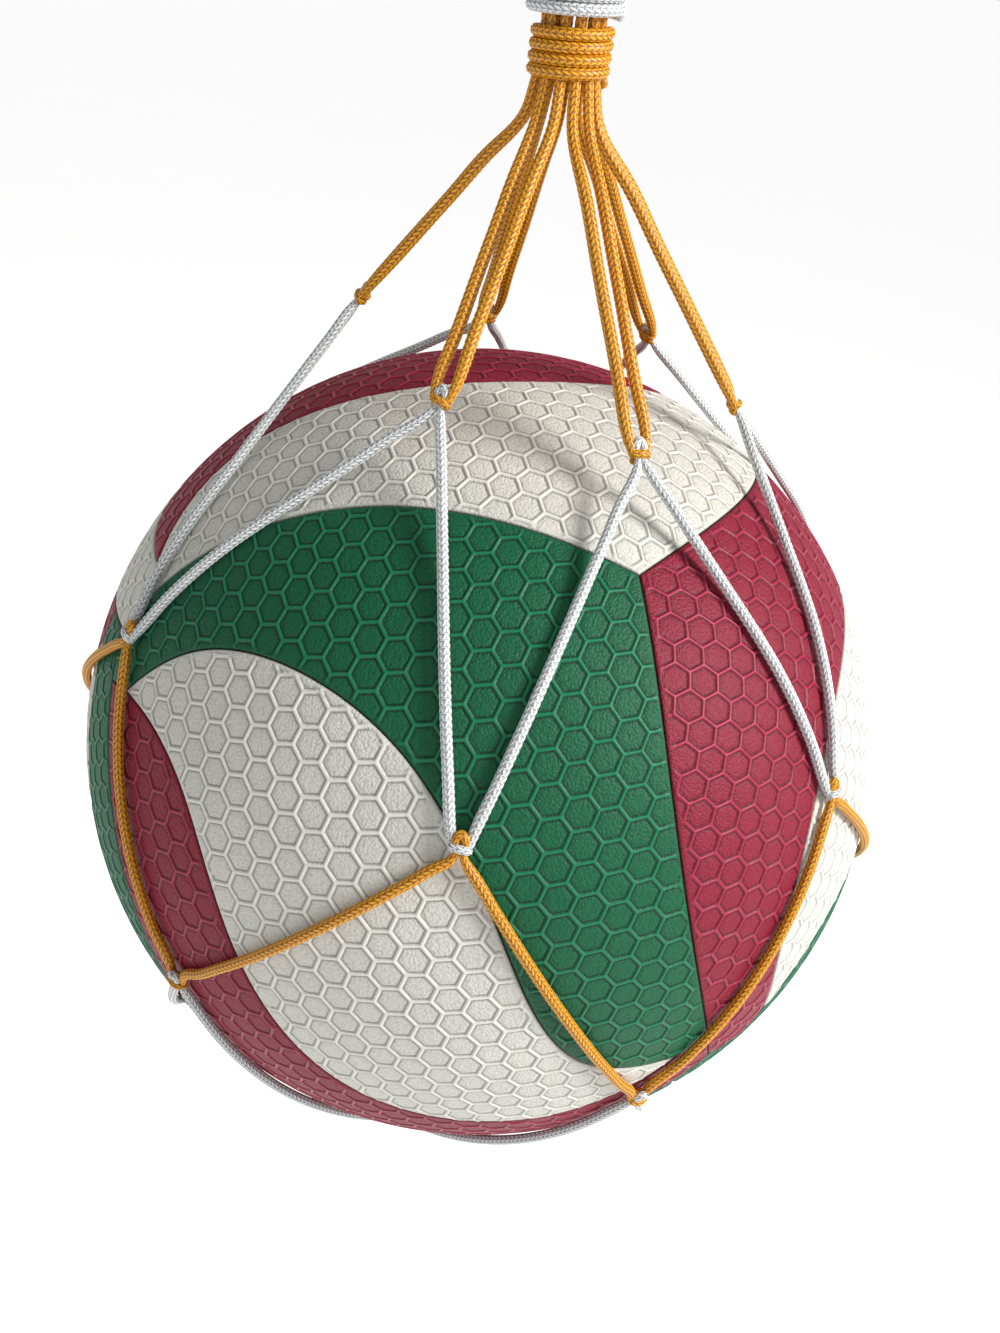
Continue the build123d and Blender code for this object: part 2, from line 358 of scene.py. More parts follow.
def honeycomb_centres(turn, reach):
    """Middles of the honeycomb's cells within reach, its rows turned by this angle."""
    side = 2 * HEX_INRADIUS / math.sqrt(3)
    rows = int(reach / HEX_INRADIUS)
    c, s = math.cos(turn), math.sin(turn)
    centres = []
    for q in range(-rows, rows + 1):
        for r in range(-rows, rows + 1):
            x, y = 1.5 * side * q, 2 * HEX_INRADIUS * r + HEX_INRADIUS * (q % 2)
            if math.hypot(x, y) < reach:
                centres.append((x * c - y * s, x * s + y * c))
    return np.array(centres)


def hexagon(inradius, turn):
    """Hexagon about the origin with each side in SIDE_STEPS steps."""
    angles = turn + np.radians(60 * np.arange(7))
    corners = np.stack([np.cos(angles), np.sin(angles)], 1) * inradius * 2 / math.sqrt(3)
    share = np.arange(SIDE_STEPS)[:, None] / SIDE_STEPS
    return np.vstack([corners[k] * (1 - share) + corners[k + 1] * share for k in range(6)])


def cell_under(points, turn):
    """Middle of the honeycomb cell under each point, and the point's distance from the
    cell's edge, which is the middle of the nearest ridge."""
    step = HEX_INRADIUS * math.sqrt(3)
    c, s = math.cos(turn), math.sin(turn)
    x = points[:, 0] * c + points[:, 1] * s
    y = points[:, 1] * c - points[:, 0] * s
    middle = np.zeros((len(points), 2))
    reach = np.full(len(points), np.inf)
    for column in (np.floor(x / step), np.floor(x / step) + 1):
        shift = HEX_INRADIUS * (column % 2)
        row = np.round((y - shift) / (2 * HEX_INRADIUS)) * 2 * HEX_INRADIUS + shift
        dx, dy = x - step * column, y - row
        slope = np.maximum(np.abs(dx * math.sqrt(0.75) + dy / 2),
                           np.abs(dx * math.sqrt(0.75) - dy / 2))
        size = np.maximum(np.abs(dy), slope)
        nearer = size < reach
        reach = np.where(nearer, size, reach)
        found = np.stack([step * column * c - row * s, step * column * s + row * c], 1)
        middle = np.where(nearer[:, None], found, middle)
    return middle, HEX_INRADIUS - reach


def filled(points, loops, spare_edges=()):
    """Triangles between the loops, through the other points."""
    every = np.vstack([*loops, points]) if len(points) else np.vstack(loops)
    edges = []
    start = 0
    for loop in loops:
        count = len(loop)
        edges += [(start + i, start + (i + 1) % count) for i in range(count)]
        start += count
    edges += [(start + a, start + b) for a, b in spare_edges]
    found = delaunay_2d_cdt([Vector(p) for p in every], edges, [], 1, 1e-7, False)
    places = np.array([tuple(p) for p in found[0]])
    triangles = places[np.array(found[2])]
    middle = triangles.mean(1)
    keep = inside(middle, loops[0])
    for hole in loops[1:]:
        keep &= ~inside(middle, hole)
    return triangles[keep]


def panel_pattern(sides, turn, hole_r=0.0):
    """One panel laid flat: its points, their height above the ball, where its ridges take a
    painted highlight and its creases and seams painted shade, and its faces. Layer 0 is the
    outer surface and layer 1 the glued back."""
    counts = [max(4, round(along(side)[-1] / RIM_STEP)) for side in sides]
    rims = [[inset_loop(sides, counts, depth) for depth in RIM_DEPTHS]]
    if hole_r:
        angles = -np.radians(np.arange(0, 360, HOLE_STEP_DEG))
        circle = np.stack([np.cos(angles), np.sin(angles)], 1)
        rims.append([circle * (hole_r + depth) for depth in RIM_DEPTHS])
    inner_loops = [rim[-1] for rim in rims]
    quads, triangles = [], []

    def level(flat, depth, layer):
        extra = np.zeros(flat.shape[:-1] + (2,))
        extra[..., 0] = depth
        extra[..., 1] = layer
        return np.concatenate([flat, extra], -1)

    for rim in rims:
        for k in range(len(RIM_DEPTHS) - 1):
            low = level(rim[k], RIM_DEPTHS[k], 0)
            high = level(rim[k + 1], RIM_DEPTHS[k + 1], 0)
            quads.append(np.stack([low, np.roll(low, -1, 0), np.roll(high, -1, 0), high], 1))
        edge, back = level(rim[0], RIM_DEPTHS[0], 0), level(rim[0], RIM_DEPTHS[0], 1)
        quads.append(np.stack([back, np.roll(back, -1, 0), np.roll(edge, -1, 0), edge], 1))

    reach = np.linalg.norm(rims[0][0], axis=1).max() + 2 * HEX_INRADIUS
    centres = honeycomb_centres(turn, reach)
    outline = hexagon(HEX_INRADIUS, turn)
    rings = [hexagon(HEX_INRADIUS - d, turn) for d in HEX_RINGS]

    def usable(flat, room):
        """Which points are on the panel with this much room to its rims."""
        spots = flat.reshape(-1, 2)
        good = inside(spots, inner_loops[0])
        for loop in inner_loops:
            good &= clearance(spots, loop) > room
        for hole in inner_loops[1:]:
            good &= ~inside(spots, hole)
        return good.reshape(flat.shape[:-1])

    cells = centres[:, None] + outline[None]
    touches = inside(cells.reshape(-1, 2), inner_loops[0]).reshape(len(cells), -1).any(1)
    centres, cells = centres[touches], cells[touches]
    is_whole = usable(cells, CELL_ROOM).all(1)
    whole, cut = centres[is_whole], centres[~is_whole]
    for outer, inner in zip(rings, rings[1:]):
        cell = np.stack([outer, np.roll(outer, -1, 0), np.roll(inner, -1, 0), inner], 1)
        flat = (whole[:, None, None] + cell[None]).reshape(-1, 4, 2)
        quads.append(level(flat, CELL_DEPTH, 0))
    last = rings[-1]
    cap = np.stack([last, np.roll(last, -1, 0), np.zeros_like(last)], 1)
    triangles.append(level((whole[:, None, None] + cap[None]).reshape(-1, 3, 2),
                           CELL_DEPTH, 0))

    lines = (cut[:, None, None] + np.array(rings)[None]).reshape(-1, len(outline), 2)
    starts, ends = lines, np.roll(lines, -1, 1)
    good = usable(lines, RIM_ROOM)
    good &= np.roll(good, -1, 1)
    borders = whole[:, None] + outline[None]
    starts = np.vstack([starts[good], borders.reshape(-1, 2)])
    ends = np.vstack([ends[good], np.roll(borders, -1, 1).reshape(-1, 2)])
    corners = np.round(np.vstack([starts, ends]) / WELD).astype(np.int64)
    _, first, numbers = np.unique(corners, axis=0, return_index=True, return_inverse=True)
    spare = np.vstack([starts, ends])[first]
    edges = np.sort(numbers.reshape(2, -1).T, axis=1)
    strip = filled(spare, inner_loops, np.unique(edges, axis=0))
    under, _ = cell_under(strip.mean(1), turn)
    strip = strip[clearance(under, whole) > HEX_INRADIUS]
    depth = RIM_DEPTHS[-1] + np.minimum.reduce(
        [clearance(strip.reshape(-1, 2), loop) for loop in inner_loops])
    strip = level(strip, 0, 0)
    strip[..., 2] = depth.reshape(-1, 3)
    triangles.append(strip)

    edge_loops = [rim[0] for rim in rims]
    grid = centres[usable(centres, 1.0)]
    back = filled(grid, edge_loops)
    triangles.append(level(back, RIM_DEPTHS[0], 1)[:, ::-1])

    quads, triangles = np.vstack(quads), np.vstack(triangles)
    corners = np.vstack([quads.reshape(-1, 4), triangles.reshape(-1, 4)])
    key = np.round(corners[:, [0, 1, 3]] / WELD).astype(np.int64)
    _, first, numbers = np.unique(key, axis=0, return_index=True, return_inverse=True)
    numbers = numbers.reshape(-1)
    split = len(quads) * 4
    flat, depth, layer = corners[first, :2], corners[first, 2], corners[first, 3]
    gap = cell_under(flat, turn)[1]
    fade = smooth_step(depth, *RIM_FADE) * (layer == 0)
    # Ridge mask: it raises the ridges and also places their painted highlight, a lighter colour.
    ridge_and_highlight = (1 - smooth_step(gap, *RIDGE_SLOPE)) * fade
    # Crease mask: it sinks the grooves at the ridges' feet and also places painted shade in
    # them.
    shaded_crease = smooth_step(gap, *CREASE_INNER) * (1 - smooth_step(gap, *CREASE_OUTER)) * fade
    roll = RIM_ROLL_R - np.sqrt(RIM_ROLL_R ** 2 - np.maximum(0, RIM_ROLL_R - depth) ** 2)
    height = np.where(layer == 1, -PANEL_THICKNESS,
                      RIDGE_HEIGHT * ridge_and_highlight - CREASE_DEPTH * shaded_crease - roll)
    # Painted shade in a thin line along each seam, added to the creases' painted shade for the
    # shader.
    seam_shade_mask = 1 - smooth_step(depth, *SEAM_SHADE_WIDTH)
    painted_shade = np.clip(CREASE_SHADE * shaded_crease + SEAM_SHADE * seam_shade_mask, 0, 1)
    values = {"ridge_and_highlight": ridge_and_highlight, "shaded_crease": painted_shade}
    return (flat, height, values,
            numbers[:split].reshape(-1, 4), numbers[split:].reshape(-1, 3))


def built_mesh(name, points, quads, triangles, values):
    """Mesh object from points in metres, with one named value at each point."""
    mesh = bpy.data.meshes.new(name)
    loops = np.concatenate([quads.reshape(-1), triangles.reshape(-1)]).astype(np.int32)
    sizes = np.concatenate([np.full(len(quads), 4), np.full(len(triangles), 3)])
    starts = np.concatenate([[0], np.cumsum(sizes)[:-1]]).astype(np.int32)
    mesh.vertices.add(len(points))
    mesh.vertices.foreach_set("co", np.ascontiguousarray(points, np.float32).ravel())
    mesh.loops.add(len(loops))
    mesh.loops.foreach_set("vertex_index", loops)
    mesh.polygons.add(len(sizes))
    mesh.polygons.foreach_set("loop_start", starts)
    mesh.update(calc_edges=True)
    mesh.validate()
    mesh.polygons.foreach_set("use_smooth", np.ones(len(mesh.polygons), bool))
    for key, numbers in values.items():
        attribute = mesh.attributes.new(key, "FLOAT", "POINT")
        attribute.data.foreach_set("value", np.ascontiguousarray(numbers, np.float32))
    made = bpy.data.objects.new(name, mesh)
    bpy.context.scene.collection.objects.link(made)
    return made


def leatherette(name, cell, ridge_and_highlight, shaded_crease):
    """Embossed leatherette: pebbled cells and smoother ridges. The ridges' lighter colour is a
    painted highlight, and the dark colour in the creases, along the seams and in the pebble
    hollows is painted shade.
    """
    material, surface = new_material(name)
    place = node(material, "ShaderNodeTexCoord").outputs["Object"]
    raised_and_highlit = node(material, "ShaderNodeAttribute")
    raised_and_highlit.attribute_name = "ridge_and_highlight"
    painted_shade = node(material, "ShaderNodeAttribute")
    painted_shade.attribute_name = "shaded_crease"
    blotch = node(material, "ShaderNodeTexNoise", Scale=60.0, Detail=3.0)
    pebble = node(material, "ShaderNodeTexVoronoi", Scale=2000.0)
    pebble.feature = "SMOOTH_F1"
    wrinkle = node(material, "ShaderNodeTexNoise", Scale=3000.0, Detail=2.0)
    join(material, (place, blotch.inputs["Vector"]), (place, pebble.inputs["Vector"]),
         (place, wrinkle.inputs["Vector"]))
    shade = mixed(material, mapped(material, blotch.outputs["Fac"], 0.3, 0.7, 0.0, 1.0),
                  tuple(0.93 * c for c in cell[:3]) + (1,), cell)
    # Painted shade in the pebble hollows: the grain's low parts mix towards the dark shade
    # colour.
    shade = mixed(material, mapped(material, pebble.outputs["Distance"], 0.25, 0.7, 0.0, 0.3),
                  shade, shaded_crease)
    # Painted highlight: the ridges take their lighter colour.
    shade = mixed(material, raised_and_highlit.outputs["Fac"], shade, ridge_and_highlight)
    # Painted shade in the creases and along the seams.
    shade = mixed(material, painted_shade.outputs["Fac"], shade, shaded_crease)
    grain = node(material, "ShaderNodeMath")
    grain.operation = "ADD"
    join(material, (pebble.outputs["Distance"], grain.inputs[0]),
         (mapped(material, wrinkle.outputs["Fac"], 0, 1, 0, 0.5), grain.inputs[1]))
    bump = node(material, "ShaderNodeBump", Distance=0.00022)
    bump.invert = True
    join(material, (shade, surface.inputs["Base Color"]),
         (mapped(material, raised_and_highlit.outputs["Fac"], 0, 1, 0.56, 0.42),
          surface.inputs["Roughness"]),
         (grain.outputs[0], bump.inputs["Height"]),
         (mapped(material, raised_and_highlit.outputs["Fac"], 0, 1, 0.9, 0.1),
          bump.inputs["Strength"]),
         (bump.outputs["Normal"], surface.inputs["Normal"]))
    surface.inputs["Specular IOR Level"].default_value = 0.34
    return material


# Each finish: cell colour, a lighter ridge colour that is a painted highlight, and a dark
# painted shade colour for the creases, seams and pebble hollows.
cover_materials = {
    "green": leatherette("green_leatherette", colour(2, 96, 61), colour(18, 118, 81),
                         colour(1, 38, 24)),
    "red": leatherette("red_leatherette", colour(142, 22, 50), colour(162, 38, 68),
                       colour(70, 3, 20)),
    "white": leatherette("white_leatherette", colour(222, 221, 213), colour(229, 228, 221),
                         colour(146, 144, 136)),
}

front = FRONT_FACE.normalized()
top = (TOP_FACE - front * TOP_FACE.dot(front)).normalized()
right = top.cross(front)
FACES = {
    "front": (front, top, right, 0.0),
    "top": (top, right, front, 90.0),
    "right": (right, front, top, 90.0),
    "back": (-front, top, -right, 0.0),
    "bottom": (-top, right, -front, 90.0),
    "left": (-right, front, -top, 90.0),
}

leaf_edge = over_ball(curve_through(LEAF_EDGE, 0.004))
long_seam = over_ball(bowed_seam(1))
short_seam = over_ball(bowed_seam(-1)[:, ::-1])
tip_seam = over_ball(divided(np.array([TIP_SEAM_END, LEAF_EDGE[0]]), 100))
side_foot = np.vstack([tip_seam[:-1], leaf_edge, -tip_seam[::-1][1:]])
left_end, foot_start, left_corner = crossing(-short_seam, side_foot)
foot_end, right_start, right_corner = crossing(side_foot, short_seam)
side_edges = [
    np.vstack([left_corner, side_foot[foot_start + 1:foot_end + 1], right_corner]),
    np.vstack([right_corner, short_seam[right_start + 1:]]),
    long_seam[::-1],
    np.vstack([-short_seam[:left_end + 1], left_corner]),
]
side_edges = [divided(edge, round(along(edge)[-1] / RIM_STEP)) for edge in side_edges]
leaf_edges = [divided(edge, round(along(edge)[-1] / RIM_STEP))
              for edge in (-leaf_edge[::-1], leaf_edge[::-1])]

patterns = {}
for turn in (0.0, 90.0):
    slant = math.radians(turn - HONEYCOMB_SLANT_DEG)
    patterns["side", turn] = panel_pattern(side_edges, slant)
    patterns["leaf", turn] = panel_pattern(leaf_edges, slant)
patterns["valve", 0.0] = panel_pattern(
    leaf_edges, -math.radians(HONEYCOMB_SLANT_DEG), VALVE_HOLE_R)


def panel(name, pattern, face, half_turn, finish):
    """Cover piece in place of the CAD panel of this name: its flat pattern laid over the
    ball on this face."""
    flat, height, values, quads, triangles = pattern
    flat = -flat if half_turn else flat
    reach = np.maximum(np.linalg.norm(flat, axis=1, keepdims=True), 1e-9)
    angle = reach / BALL_R
    normal, up_way, right_way, _ = face
    axes = np.array([right_way, up_way, normal])
    way = np.hstack([flat / reach * np.sin(angle), np.cos(angle)]) @ axes
    points = (np.array(ball_centre) / MM + way * (BALL_R + height)[:, None]) * MM
    made = built_mesh(name.replace("panel", "cover"), points, quads, triangles, values)
    made.data.materials.append(cover_materials[finish])
    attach(made, "ball")
    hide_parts(name)


for face_name, face in FACES.items():
    finishes = COVER_COLOURS[face_name]
    leaf = "valve" if face_name == "back" else "leaf"
    turn = face[3]
    panel(face_name + "_side_panel_a", patterns["side", turn], face, False, finishes[0])
    panel(face_name + "_leaf_panel", patterns[leaf, turn], face, False, finishes[1])
    panel(face_name + "_side_panel_b", patterns["side", turn], face, True, finishes[2])

# ---- Carcass, bladder and valve ------------------------------------------------------
# Under the cover lies a layer of nylon thread wound over a butyl rubber bladder. The
# valve is a moulded rubber plug, vulcanised to the bladder, with a hole for the needle.
thread, surface = new_material("wound_thread")
place = node(thread, "ShaderNodeTexCoord").outputs["Object"]
winding = node(thread, "ShaderNodeTexWave", Scale=520.0, Distortion=6.0, Detail=2.0)
crossed = node(thread, "ShaderNodeTexNoise", Scale=900.0, Detail=3.0)
join(thread, (place, winding.inputs["Vector"]), (place, crossed.inputs["Vector"]))
weave_bump = node(thread, "ShaderNodeBump", Strength=0.6, Distance=0.0002)
join(thread,
     (mixed(thread, winding.outputs["Fac"], colour(120, 112, 96), colour(176, 168, 150)),
      surface.inputs["Base Color"]),
     (winding.outputs["Fac"], weave_bump.inputs["Height"]),
     (mapped(thread, crossed.outputs["Fac"], 0.3, 0.7, 0.6, 0.85), surface.inputs["Roughness"]),
     (weave_bump.outputs["Normal"], surface.inputs["Normal"]))


def black_rubber(name, shine):
    """Moulded black rubber with a fine matt grain and a dusty bloom."""
    material, surface = new_material(name)
    place = node(material, "ShaderNodeTexCoord").outputs["Object"]
    bloom = node(material, "ShaderNodeTexNoise", Scale=260.0, Detail=5.0)
    grain = node(material, "ShaderNodeTexNoise", Scale=2600.0, Detail=3.0)
    bump = node(material, "ShaderNodeBump", Strength=0.35, Distance=0.00006)
    join(material, (place, bloom.inputs["Vector"]), (place, grain.inputs["Vector"]),
         (grain.outputs["Fac"], bump.inputs["Height"]),
         (bump.outputs["Normal"], surface.inputs["Normal"]),
         (mixed(material, mapped(material, bloom.outputs["Fac"], 0.35, 0.75, 0.0, 1.0),
                colour(22, 22, 23), colour(44, 43, 42)), surface.inputs["Base Color"]),
         (mapped(material, bloom.outputs["Fac"], 0.3, 0.7, shine, shine + 0.15),
          surface.inputs["Roughness"]))
    return material


def dress(node_name, material):
    """Give a CAD piece that stays shown its finish."""
    shown = frame["nodes"][node_name]
    shown.data.materials.clear()
    shown.data.materials.append(material)


dress("wound_carcass", thread)
dress("air_bladder", black_rubber("bladder_rubber", 0.45))
dress("valve_plug", black_rubber("valve_rubber", 0.38))

# ---- Net knots, where they lie -------------------------------------------------------
# The net is tied in four rings of six knots. The mouth knots hang between the ball and
# the gather, and the others lie on the ball. Each knot has its own small frame: side
# runs round the ball, up along the cords and out away from the ball.
CORD_R = 1.2
TIGHT_R = 0.9
NIPPED_R = 0.72
KNOT_LIFT = 1.85
BALL_TO_CORD = 0.42
RIDE_R = BALL_R + BALL_TO_CORD + CORD_R
KNOT_SPREAD = 12.0
swing_pivot = next(np.array(j["pos_m"]) for j in frame["joints"] if j["name"] == "bag_swing")
gather = swing_pivot / MM - np.array(ball_centre) / MM


def unit(vector):
    """The same direction with length 1."""
    return vector / np.linalg.norm(vector)


def tied_at(node_name):
    """Middles of a row of knots, from the ball's centre, in the order they are tied."""
    points = np.array([v.co for v in frame["nodes"][node_name].data.vertices])
    points = (points - np.array(ball_centre)) / MM
    middles = []
    while len(points):
        near = np.linalg.norm(points - points[0], axis=1) < KNOT_SPREAD
        middles.append((points[near].min(0) + points[near].max(0)) / 2)
        points = points[~near]
    return middles


class Knot:
    """One knot: its middle, and the directions side, up and out."""

    def __init__(self, middle, on_ball):
        self.side = unit(np.array([-middle[1], middle[0], 0.0]))
        if on_ball:
            self.out = unit(middle)
            self.up = unit(np.cross(self.out, self.side))
            self.middle = self.out * (BALL_R + BALL_TO_CORD + KNOT_LIFT)
            self.leg_drop = KNOT_LIFT - CORD_R
        else:
            self.up = unit(gather - middle)
            self.out = unit(np.cross(self.side, self.up))
            self.middle = middle
            self.leg_drop = 0.0

    def at(self, side, up, out, radius):
        """Point beside the knot's middle, with the cord's radius there."""
        place = self.middle + self.side * side + self.up * up + self.out * out
        return np.append(place, radius)


mouth_row = [Knot(p, False) for p in tied_at("mouth_knots")]
upper_row = [Knot(p, True) for p in tied_at("upper_knots")]
lower_row = [Knot(p, True) for p in tied_at("lower_knots")]
base_row = [Knot(p, True) for p in tied_at("base_knots")]

# ---- Braided cord --------------------------------------------------------------------
# Every cord is a round braid of polypropylene yarn, about 2.4 mm thick. Its stitches lie in
# eight columns that slant left and right in turn, so that they make rows of small Vs.
COLUMNS = 8
AROUND = 24
STITCH = 1.4
STITCH_STEPS = 6
STITCH_RELIEF = 0.27
LEG_STEP = 7.0


def braid(route, closed=False):
    """Braided surface along a route of (x, y, z, radius): points, faces and relief."""
    length = along(route)[-1]
    count = max(2, round(length / STITCH)) * STITCH_STEPS
    line = divided(route, count)
    if closed:
        line = line[:-1]
    place, radius = line[:, :3], line[:, 3]
    if closed:
        way = np.roll(place, -1, 0) - np.roll(place, 1, 0)
    else:
        way = np.gradient(place, axis=0)
    way /= np.linalg.norm(way, axis=1, keepdims=True)
    first = np.cross(way[0], (0.3, 0.5, 0.81))
    normals = [unit(first)]
    for step in way[1:]:
        normals.append(unit(normals[-1] - step * (normals[-1] @ step)))
    normals = np.array(normals)
    sides = np.cross(way, normals)
    if closed:
        back = unit(normals[-1] - way[0] * (normals[-1] @ way[0]))
        twist = math.atan2(back @ sides[0], back @ normals[0])
        turn = -twist * np.arange(len(line)) / len(line)
        c, s = np.cos(turn)[:, None], np.sin(turn)[:, None]
        normals, sides = normals * c + sides * s, sides * c - normals * s
    column = np.arange(AROUND) * COLUMNS / AROUND
    slant = np.where(np.floor(column) % 2 == 0, 1, -1)
    across = column % 1
    rows = np.arange(len(line))[:, None] / STITCH_STEPS
    stitch = (rows + slant * (across - 0.5)) % 1
    crown = np.sqrt(np.maximum(0, np.sin(np.pi * stitch)))
    relief = crown * np.where(across == 0, 0.45, 1.0)
    angle = 2 * np.pi * np.arange(AROUND) / AROUND
    size = radius[:, None] - STITCH_RELIEF * (1 - relief)
    points = (place[:, None]
              + normals[:, None] * (np.cos(angle) * size)[..., None]
              + sides[:, None] * (np.sin(angle) * size)[..., None]).reshape(-1, 3)
    ring = np.arange(len(line) if closed else len(line) - 1)[:, None] * AROUND
    onward = (ring + AROUND) % (len(line) * AROUND)
    step = np.arange(AROUND)[None]
    after = (step + 1) % AROUND
    quads = np.stack([ring + step, ring + after, onward + after, onward + step], -1)
    relief = relief.reshape(-1)
    triangles = np.zeros((0, 3), int)
    if not closed:
        ends = np.array([place[0], place[-1]])
        start = len(points)
        points = np.vstack([points, ends])
        relief = np.append(relief, [0.3, 0.3])
        step, after = step[0], after[0]
        last = (len(line) - 1) * AROUND
        triangles = np.vstack([
            np.stack([after, step, np.full(AROUND, start)], 1),
            np.stack([last + step, last + after, np.full(AROUND, start + 1)], 1)])
    return points, quads.reshape(-1, 4), triangles, relief


def cord(name, routes, material, body="net", nodes=(), closed=False):
    """Piece of one or more braided cords, which rides on this body. It replaces these CAD
    nodes, or the one that has its name."""
    points, quads, triangles, relief = [], [], [], []
    start = 0
    for route in routes:
        found = braid(np.array(route), closed)
        points.append(found[0])
        quads.append(found[1] + start)
        triangles.append(found[2] + start)
        relief.append(found[3])
        start += len(found[0])
    places = (np.vstack(points) + np.array(ball_centre) / MM) * MM
    made = built_mesh(name + "_braid", places, np.vstack(quads), np.vstack(triangles),
                      {"relief": np.concatenate(relief)})
    made.data.materials.append(material)
    if body:
        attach(made, body)
    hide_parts(*(nodes or [name]))
    return made


def yarn(name, crown, flank, gap):
    """Satin braided yarn in its flank colour, with a painted highlight on the stitch crowns
    and painted shade in the gaps between stitches.
    """
    material, surface = new_material(name)
    place = node(material, "ShaderNodeTexCoord").outputs["Object"]
    height = node(material, "ShaderNodeAttribute")
    height.attribute_name = "relief"
    uneven = node(material, "ShaderNodeTexNoise", Scale=420.0, Detail=3.0)
    fibres = node(material, "ShaderNodeTexNoise", Scale=5200.0, Detail=2.0)
    join(material, (place, uneven.inputs["Vector"]), (place, fibres.inputs["Vector"]))
    # Painted shade in the gaps between stitches, where the relief is low.
    shade = mixed(material, mapped(material, height.outputs["Fac"], 0.25, 0.72, 0, 1),
                  gap, flank)
    # Painted highlight on the stitch crowns, where the relief is high.
    shade = mixed(material, mapped(material, height.outputs["Fac"], 0.7, 1.0, 0, 1),
                  shade, crown)
    shade = mixed(material, mapped(material, uneven.outputs["Fac"], 0.35, 0.75, 0, 0.30),
                  shade, flank)
    bump = node(material, "ShaderNodeBump", Strength=0.4, Distance=0.00006)
    join(material, (shade, surface.inputs["Base Color"]),
         (fibres.outputs["Fac"], bump.inputs["Height"]),
         (bump.outputs["Normal"], surface.inputs["Normal"]),
         (mapped(material, height.outputs["Fac"], 0.2, 1.0, 0.6, 0.36),
          surface.inputs["Roughness"]))
    surface.inputs["Specular IOR Level"].default_value = 0.6
    return material


# Each yarn: a crown colour with painted highlight, its own flank colour, and a painted shade
# colour for the gaps between stitches.
amber = yarn("amber_yarn", colour(252, 190, 36), colour(226, 150, 10), colour(112, 60, 0))
white = yarn("white_yarn", colour(252, 253, 252), colour(226, 229, 230),
             colour(118, 123, 126))


def taut(start, end):
    """Cord pulled tight from start to end, as points: straight until it meets the ball,
    then round it."""
    begin, finish = start[:3], end[:3]
    out = unit(begin)
    onward = unit(np.cross(np.cross(begin, finish), out))
    turn = math.acos(np.clip(out @ unit(finish), -1, 1))
    lift = math.acos(min(1.0, RIDE_R / np.linalg.norm(begin)))
    if turn <= lift:
        return []
    angles = np.linspace(lift, turn, max(3, round((turn - lift) * RIDE_R / LEG_STEP)))
    arc = RIDE_R * (np.cos(angles)[:, None] * out + np.sin(angles)[:, None] * onward)
    points = arc[1:-1]
    gap = np.linalg.norm(begin - arc[0])
    if gap > LEG_STEP:
        share = np.linspace(0, 1, max(3, round(gap / LEG_STEP)))[1:, None]
        points = np.vstack([begin + (arc[0] - begin) * share, points])
    return [np.append(p, CORD_R) for p in points]


# Places by a knot, as (side, up): in its wrap, beside its bight, and just below it
LEG_IN_WRAP = (1.6, 0.2)
LEG_BESIDE = (2.25, 2.8)
LEG_BELOW = (1.05, -2.2)
BESIDE_R = 1.1


def leg_up(lower, upper, side):
    """Leg from the lower knot's wrap to below the upper knot. side is +1 for a leg that
    leaves the lower knot towards larger azimuth."""
    first = [lower.at(side * LEG_IN_WRAP[0], LEG_IN_WRAP[1], -lower.leg_drop / 2, TIGHT_R),
             lower.at(side * LEG_BESIDE[0], LEG_BESIDE[1], -lower.leg_drop, BESIDE_R)]
    last = below(upper, -side)
    return first + taut(last, first[-1])[::-1] + [last]


def below(knot, side):
    """End of the bight's leg on this side, where it comes out under the wrap."""
    return knot.at(side * LEG_BELOW[0], LEG_BELOW[1], -knot.leg_drop / 2, TIGHT_R)


# Bight through a wrap, from left to right, as (side, up, out, radius)
BIGHT_ROUTE = ((-0.62, -0.3, 0, NIPPED_R), (-0.88, 1.7, 0.4, TIGHT_R),
               (0, 2.8, 0.5, TIGHT_R + 0.05),
               (0.88, 1.7, 0.4, TIGHT_R), (0.62, -0.3, 0, NIPPED_R))


def bight(knot):
    """Turned-over end of a V at this knot, as points."""
    return [knot.at(*place) for place in BIGHT_ROUTE]


def mesh_cord(knot, left, right):
    """One V of a row: up from the left lower knot, over the bight, down to the right."""
    points = leg_up(left, knot, 1) + bight(knot) + leg_up(right, knot, -1)[::-1]
    return curve_through(points, STITCH / STITCH_STEPS)


# ---- Upper, middle and lower meshes --------------------------------------------------
# Each row is tied from one cord. It dips from knot to knot round the ball, and at the top
# of each V its bight is caught in the wrap of the row above.
rows = (("upper_mesh_cord", mouth_row, upper_row, white, "white_cord"),
        ("middle_mesh_cord", upper_row, lower_row, amber, "amber_cord"),
        ("lower_mesh_cord", lower_row, base_row, white, "white_cord"))
for row_name, knots, feet, material, slot in rows:
    for i, knot in enumerate(knots):
        cord(row_name + "_" + str(i + 1), [mesh_cord(knot, feet[i - 1], feet[i])],
             material)

# ---- Knot wraps ----------------------------------------------------------------------
# At the foot of each V the cord takes a tight turn about the bight of the row below, with
# its ends crossed behind, so each wrap has the colour of the cords that come down to it.
WRAP_HALF_WIDTH = 1.75
WRAP_HALF_DEPTH = 0.95
WRAP_RISE = 1.5
WRAP_START_DEG = -157.5
WRAP_STEP_DEG = 22.5


def wrap(knot):
    """Tight turn of cord about the neck of a bight, its ends crossed behind."""
    points = []
    for degrees in np.arange(WRAP_START_DEG, 180 - WRAP_START_DEG + 1, WRAP_STEP_DEG):
        angle = math.radians(degrees)
        rise = (degrees - 90) / 360 * WRAP_RISE
        points.append(knot.at(WRAP_HALF_WIDTH * math.cos(angle), rise,
                              WRAP_HALF_DEPTH * math.sin(angle), TIGHT_R))
    return curve_through(points, STITCH / STITCH_STEPS)


